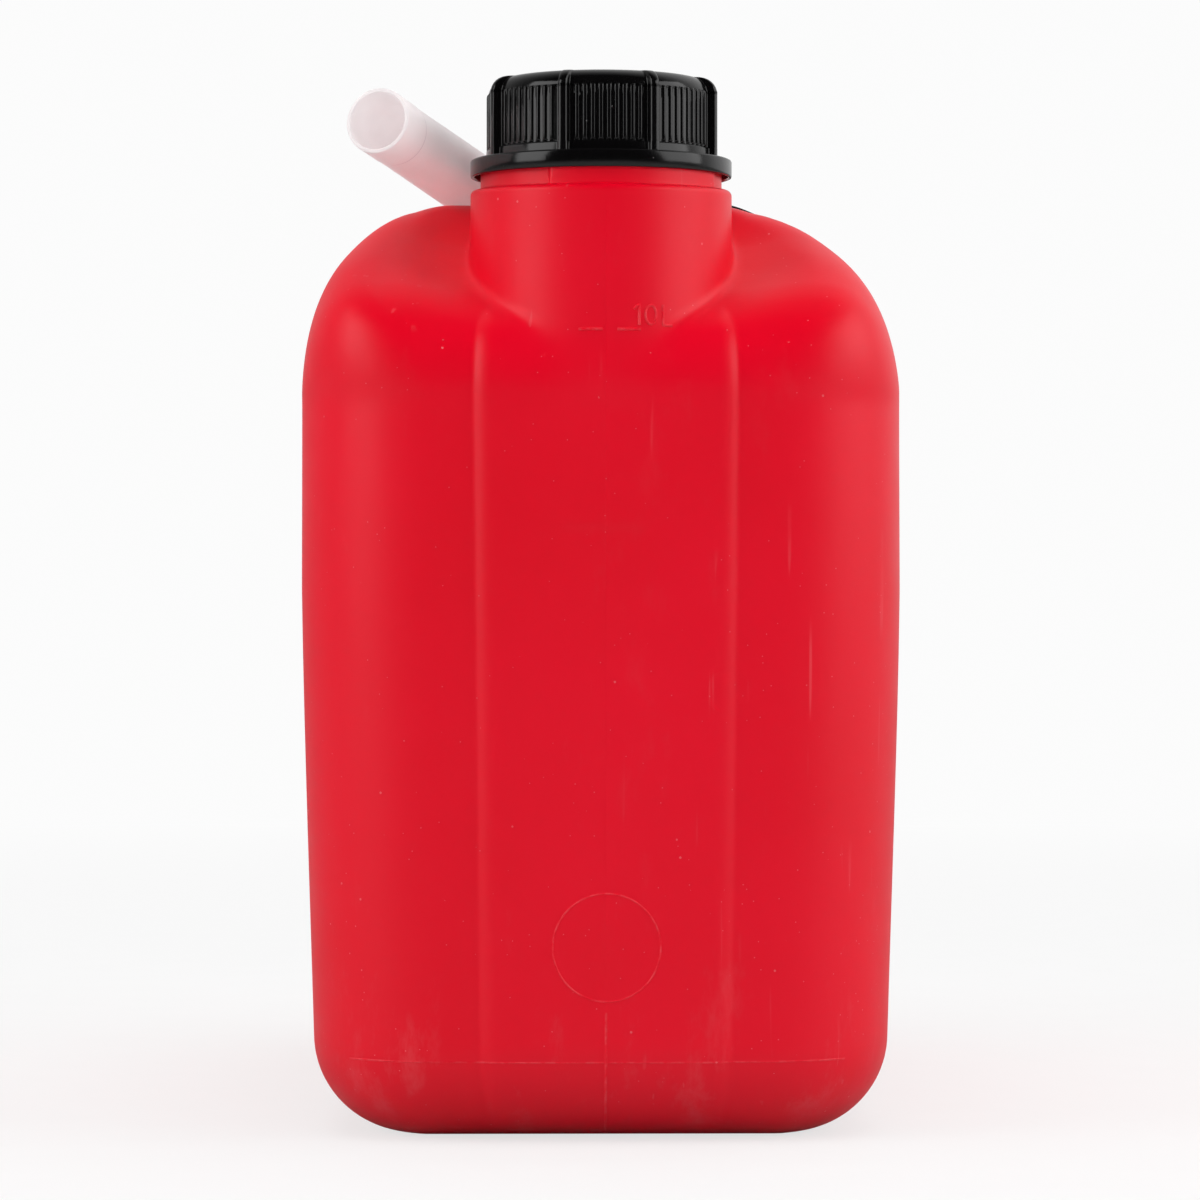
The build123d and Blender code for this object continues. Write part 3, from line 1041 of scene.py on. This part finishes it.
def closure_points(hole_radius):
    """Rows of a closure from the inside of its open end, round the outside, and back up inside.

    A cap without a hole also gets the number of rows in front of its underside.
    """
    angle, rib, flute = closure_columns()
    rows = []

    def row(radius, height, rib_share=0.0, flute_share=0.0, lift=0.0):
        radius = radius + rib_rise * rib_share * rib + flute_depth * flute_share * flute
        height = height + lift * rib + 0 * angle
        rows.append(np.column_stack((radius * np.cos(angle), radius * np.sin(angle), height)))

    skirt = flange_radius - flange_wall
    web = flange_height - flange_web
    for place in (
        (skirt, 0.5), (skirt + 0.15, 0.12), (skirt + 0.4, 0), (flange_radius - 0.4, 0),
        (flange_radius - 0.12, 0.12), (flange_radius, 0.45), (flange_radius, 2.4),
        (flange_radius, flange_height - 0.55), (flange_radius - 0.15, flange_height - 0.18),
        (flange_radius - 0.5, flange_height), (flange_radius - 1.6, flange_height + 0.03),
        (barrel_radius + 1.0, flange_height + 0.06, 0.55),
        (barrel_radius + 0.65, flange_height + 0.22, 0.72),
        (barrel_radius + 0.55, flange_height + 0.6, 0.75),
        (barrel_radius + 0.50, flute_low - 0.5, 0.78),
        (barrel_radius + 0.40, flute_low - 0.25, 0.82),
        (barrel_radius + 0.08, flute_low - 0.12, 0.96), (barrel_radius, flute_low, 1),
        (barrel_radius, flute_low + 0.35, 1, 0.9), (barrel_radius, flute_low + 0.6, 1, 1),
        (barrel_radius, 11.0, 1, 1), (barrel_radius, 15.0, 1, 1),
        (barrel_radius, 19.0, 1, 1), (barrel_radius, flute_high - 0.8, 1, 1),
        (barrel_radius, flute_high - 0.3, 1, 0.75), (barrel_radius, flute_high, 1),
    ):
        row(*place)
    centre = barrel_radius - top_edge
    crown = closure_height - crown_drop
    for turn in np.radians((0, 12, 24, 36, 48, 60, 72, 82, 90)):
        height = crown - top_edge * (1 - math.sin(turn))
        row(centre + top_edge * math.cos(turn), height, 1, 0, -0.15 * math.sin(turn))
    row(centre - 1.5, crown + 0.05, 0.8, 0, -0.05)
    row(centre - 3.0, crown + 0.10, 0.3)
    row(centre - 3.8, crown + 0.12)
    row(recess_radius + 0.4, crown + 0.12)
    floor_height = crown - 0.25
    row(recess_radius, floor_height)
    underside = closure_height - top_plate
    split = None
    if hole_radius:
        row(hole_radius + 0.4, floor_height)
        row(hole_radius + 0.1, crown - 0.35)
        row(hole_radius, crown - 0.6)
        row(hole_radius, underside + 0.3)
        row(hole_radius + 0.3, underside)
    else:
        row(12.0, floor_height)
        row(gate_radius + 0.4, floor_height)
        row(gate_radius, crown - 0.5)
        row(1.2, crown - 0.5)
        split = len(rows)
        row(6.0, underside)
    row(24.0, underside)
    row(bore_radius - 0.5, underside)
    for height in np.linspace(underside - 0.5, web + 0.4, 44):
        share = thread_share(angle % (2 * math.pi), height, closure_thread_start)
        row(bore_radius - thread_depth * share, height)
    row(bore_radius + 0.3, web)
    row(skirt - 0.4, web)
    row(skirt, web - 0.4)
    return np.array(rows), split


def axes_of(x_axis, z_axis):
    return np.array((x_axis, np.cross(z_axis, x_axis), z_axis))


def closure(name, body, node, origin, axes, hole_radius=None):
    """A ribbed closure whose open end stands at origin, its top along the last axis."""
    points, split = closure_points(hole_radius)
    points = points @ axes + origin
    rows, columns, _ = points.shape
    faces = grid_faces(rows, columns, True)
    flat = list(points.reshape(-1, 3))
    if split:
        # The top and the underside are separate discs, without the strip that would join them
        gap = set(range((split - 1) * columns, split * columns))
        faces = [f for k, f in enumerate(faces) if k not in gap]
        add_fan(flat, faces, points, split - 1, True)
        add_fan(flat, faces, points, split, False)
    finish_piece(name, new_bmesh(flat, faces), black, body, node)


def seal(name, body, node, origin, axes, profile, solid):
    """A rubber disc or ring turned from (radius, height) points."""
    angle = full_turn(160)
    rows = [
        np.column_stack((r * np.cos(angle), r * np.sin(angle), h + 0 * angle)) for r, h in profile
    ]
    points = np.array(rows) @ axes + origin
    finish_piece(name, turned_bmesh(points, solid), rubber, body, node)


upright = np.eye(3)
closure("cap_moulding", "cap", "screw_cap", (neck_x, neck_y, cap_low[2]), upright)

seal_low, seal_high = node_box("cap_seal")
seal_thickness = seal_high[2] - seal_low[2]
seal_radius = (seal_high[0] - seal_low[0]) / 2
# Both seals carry the groove that a rim has pressed into them
disc_edge = 0.35
disc_profile = [
    (1.0, 0.0), (9.0, 0.05), (23.6, 0.0), (24.2, 0.35), (27.3, 0.35), (27.9, 0.0),
    (seal_radius - disc_edge, 0.0), (seal_radius, disc_edge),
    (seal_radius, seal_thickness - disc_edge), (seal_radius - disc_edge, seal_thickness),
    (14.0, seal_thickness), (1.0, seal_thickness),
]
seal_origin = (neck_x, neck_y, seal_low[2])
seal("cap_seal_disc", "cap_disc", "cap_seal", seal_origin, upright, disc_profile, solid=True)


# ---- Spout ----

spout_run = 0.400
spout_drop = 0.1913
tube_mouth_radius = 8.9
tube_root_radius = 10.0
tube_wall = 0.9
band_length = 13.0
band_step = 0.25
bellows_start = 164.0
bellows_length = 50.0
bellows_folds = 8
bellows_radius = 13.2
bellows_angle = math.radians(8.0)
bend_rise = 0.60
cone_length = 8.0
throat_radius = 18.6
spout_flange_radius = 28.6
spout_flange_thickness = 2.0
spout_seal_inner = 22.0
cone_start = bellows_start + bellows_length
throat_start = cone_start + cone_length
nut_front = throat_start + 1.6
flange_start = nut_front + top_plate + 0.05
spout_seal_start = flange_start + spout_flange_thickness
nut_open_end = nut_front + closure_height

spout_direction = np.array((spout_run, 1.0, -spout_drop))
spout_direction /= np.linalg.norm(spout_direction)
bend_direction = np.array((1.0, 0.0, bend_rise))
bend_direction -= spout_direction * (spout_direction @ bend_direction)
bend_direction /= np.linalg.norm(bend_direction)
spout_side = np.cross(spout_direction, bend_direction)
band_radius = tube_mouth_radius + band_step
reach = band_radius * np.sqrt(1 - spout_direction ** 2)
mouth = np.array((tube_low[0] + reach[0], tube_low[1] + reach[1], tube_high[2] - reach[2]))
bend_radius = bellows_length / bellows_angle


def spout_section(distance):
    """Middle and direction of the spout this far along it from the mouth."""
    bent = min(max(distance - bellows_start, 0), bellows_length)
    turn = bent / bend_radius
    straight = max(distance - cone_start, 0)
    along = min(distance, bellows_start) + bend_radius * math.sin(turn) + straight * math.cos(turn)
    aside = bend_radius * (1 - math.cos(turn)) + straight * math.sin(turn)
    direction = spout_direction * math.cos(turn) + bend_direction * math.sin(turn)
    return mouth + along * spout_direction + aside * bend_direction, direction


def spout_profile():
    """(distance, radius) of the spout's outside, from the mouth to the face of the flange."""
    profile = [(0.0, band_radius - 0.30), (0.12, band_radius - 0.08), (0.5, band_radius)]
    profile += [(band_length - 0.6, band_radius), (band_length - 0.2, band_radius - 0.05)]
    for s in np.linspace(band_length + 0.15, bellows_start, 42):
        taper = (tube_root_radius - tube_mouth_radius) * s / bellows_start
        profile.append((s, tube_mouth_radius + taper))
    fold = bellows_length / bellows_folds
    for k in range(1, bellows_folds * 12):
        s = k * fold / 12
        wave = (0.5 - 0.5 * math.cos(2 * math.pi * s / fold)) ** 0.8
        radius = tube_root_radius + (bellows_radius - tube_root_radius) * wave
        profile.append((bellows_start + s, radius))
    for share in np.linspace(0, 1, 9):
        rise = smooth_step(0, 1, share)
        radius = tube_root_radius + (throat_radius - tube_root_radius) * rise
        profile.append((cone_start + cone_length * share, radius))
    return profile + [
        (flange_start - 0.5, throat_radius), (flange_start - 0.1, throat_radius + 0.2),
        (flange_start, throat_radius + 0.7), (flange_start, spout_flange_radius - 0.4),
        (flange_start + 0.4, spout_flange_radius),
        (spout_seal_start - 0.4, spout_flange_radius),
        (spout_seal_start, spout_flange_radius - 0.4),
    ]


def bore_profile():
    """(distance, radius) of the spout's inside, from the flange's face back to the mouth."""
    mouth_bore = tube_mouth_radius - tube_wall
    profile = [(spout_seal_start, throat_radius - tube_wall + 0.3)]
    for s, radius in reversed([p for p in spout_profile() if p[0] <= throat_start + 0.01]):
        radius = min(radius, throat_radius) - tube_wall
        profile.append((s, mouth_bore if s < band_length + 0.1 else radius))
    profile[-2:] = [(0.25, mouth_bore + 0.05), (0.0, mouth_bore + 0.25)]
    return profile


def spout():
    angle = full_turn(96)[:, None]
    rows = []
    for distance, radius in spout_profile() + bore_profile():
        middle, direction = spout_section(distance)
        other = np.cross(direction, spout_side)
        rows.append(middle + radius * (np.cos(angle) * spout_side + np.sin(angle) * other))
    bm = turned_bmesh(np.array(rows), solid=False)
    finish_piece("spout_moulding", bm, milky, "spout", "spout_tube")


milky = milky_plastic(*spout_section(0))
spout()
seal_middle, seal_direction = spout_section(spout_seal_start)
ring_edge = 0.3
ring_profile = [
    (spout_seal_inner, ring_edge), (spout_seal_inner + ring_edge, 0.0),
    (spout_flange_radius - ring_edge, 0.0), (spout_flange_radius, ring_edge),
    (spout_flange_radius, seal_thickness - ring_edge),
    (spout_flange_radius - ring_edge, seal_thickness), (27.6, seal_thickness),
    (27.2, seal_thickness - 0.3), (24.8, seal_thickness - 0.3), (24.4, seal_thickness),
    (spout_seal_inner + ring_edge, seal_thickness),
    (spout_seal_inner, seal_thickness - ring_edge),
]
seal_axes = axes_of(spout_side, seal_direction)
seal("spout_seal_ring", "spout", "spout_seal", seal_middle, seal_axes, ring_profile, solid=False)
nut_middle, nut_direction = spout_section(nut_open_end)
nut_axes = axes_of(spout_side, -nut_direction)
closure("nut_moulding", "nut", "spout_nut", nut_middle, nut_axes, nut_hole_radius)


# ---- Studio ----

floor_reach = 6.0
floor_near = 0.35
floor_far = 1.6
backdrop_white = 0.97
glow_near = 0.72  # how much of the floor near the object is plain white rather than lit
bounce = 0.42  # the floor as the object sees it
room_left = 0.36
room_right = 0.85
camera_distance = 1214.0  # millimetres in front of the panel
camera_height = 0.1475


def floor():
    """A pale floor whose far part melts into the white surroundings."""
    n, place = new_material("studio_floor")
    length = n.add("VectorMath", operation="LENGTH", i0=place).outputs["Value"]
    far = n.ramp(length, floor_near, floor_far)
    grain = n.noise(place, 40, 3)
    tone = n.mix(grain, (0.86, 0.86, 0.86, 1), (0.90, 0.90, 0.90, 1))
    near = n.add("BsdfDiffuse", Color=tone)
    glow = n.add("Emission", Color=(backdrop_white, backdrop_white, backdrop_white, 1))
    share = n.sum(glow_near, n.product(far, 1 - glow_near))
    part = n.add("MixShader", i0=share, i1=near, i2=glow)
    camera_ray = n.add("LightPath").outputs["Is Camera Ray"]
    dull = n.add("BsdfDiffuse", Color=(bounce, bounce, bounce, 1))
    seen = n.add("MixShader", i0=camera_ray, i1=dull, i2=part)
    material = n.finish(seen)
    mesh = bpy.data.meshes.new("studio_floor")
    r = floor_reach
    mesh.from_pydata([(-r, -r, 0), (r, -r, 0), (r, r, 0), (-r, r, 0)], [], [(0, 1, 2, 3)])
    mesh.materials.append(material)
    add_object("studio_floor", mesh)


def surroundings():
    """The camera sees white; the object mirrors a room that is dark in front and pale behind."""
    n = Nodes(bpy.data.worlds.new("studio"))
    direction = n.add("SeparateXYZ", i0=n.add("TexCoord").outputs["Generated"]).outputs
    behind = n.ramp(direction[1], -0.15, 0.5)
    side = n.add("MapRange", i0=direction[0], i1=-0.6, i2=0.6, i3=room_left, i4=room_right)
    mirrored = n.product(behind, side)
    camera_ray = n.add("LightPath").outputs["Is Camera Ray"]
    seen = n.add("Mix", i0=camera_ray, i2=mirrored, i3=backdrop_white)
    light = n.add("Background", i0=(1, 1, 1, 1), i1=seen)
    bpy.context.scene.world = n.finish(light, "OutputWorld")


def add_aimed(name, data, place, target):
    piece = add_object(name, data)
    piece.location = place
    piece.rotation_euler = (Vector(target) - Vector(place)).to_track_quat("-Z", "Y").to_euler()
    return piece


def softbox(name, place, target, size, radiance, mirrored=True):
    """A rectangular light; one that isn't mirrored only fills in the matt shading."""
    light = bpy.data.lights.new(name, "AREA")
    light.shape = "RECTANGLE"
    light.size, light.size_y = size
    light.energy = radiance * math.pi * size[0] * size[1]
    light.cycles.use_multiple_importance_sampling = mirrored
    add_aimed(name, light, place, target).visible_glossy = mirrored


floor()
surroundings()
softbox("softbox_left", (-1.41, -0.75, 0.85), (0, -0.1, 0.2), (0.9, 1.2), 2.2)
softbox("softbox_right", (1.52, -0.50, 0.85), (0, -0.1, 0.2), (1.3, 1.2), 1.9)
softbox("fill_front", (0, -2.5, 0.5), (0, 0, 0.15), (3.0, 2.4), 1.20, mirrored=False)
softbox("fill_left", (-2.4, -0.4, 0.5), (0, 0, 0.15), (2.4, 2.0), 1.75, mirrored=False)
softbox("fill_right", (2.4, -0.4, 0.5), (0, 0, 0.15), (2.4, 2.0), 1.50, mirrored=False)
softbox("fill_top", (0, -0.4, 2.4), (0, 0, 0.1), (2.4, 2.4), 1.65, mirrored=False)
softbox("fill_low", (0, -1.2, 0.06), (0, 0, 0.03), (2.4, 0.1), 2.0, mirrored=False)
softbox("fill_back", (0, 2.6, 0.7), (0, 0, 0.15), (3.0, 2.0), 1.2, mirrored=False)

camera = bpy.data.cameras.new("camera")
camera.sensor_width = 36.0
camera.lens = 134.9
camera_place = (-0.018, (front_y - camera_distance) * MM, camera_height)
camera_target = (-0.0003, neck_y * MM, camera_height)
bpy.context.scene.camera = add_aimed("camera", camera, camera_place, camera_target)
bpy.context.scene.view_settings.view_transform = "Standard"
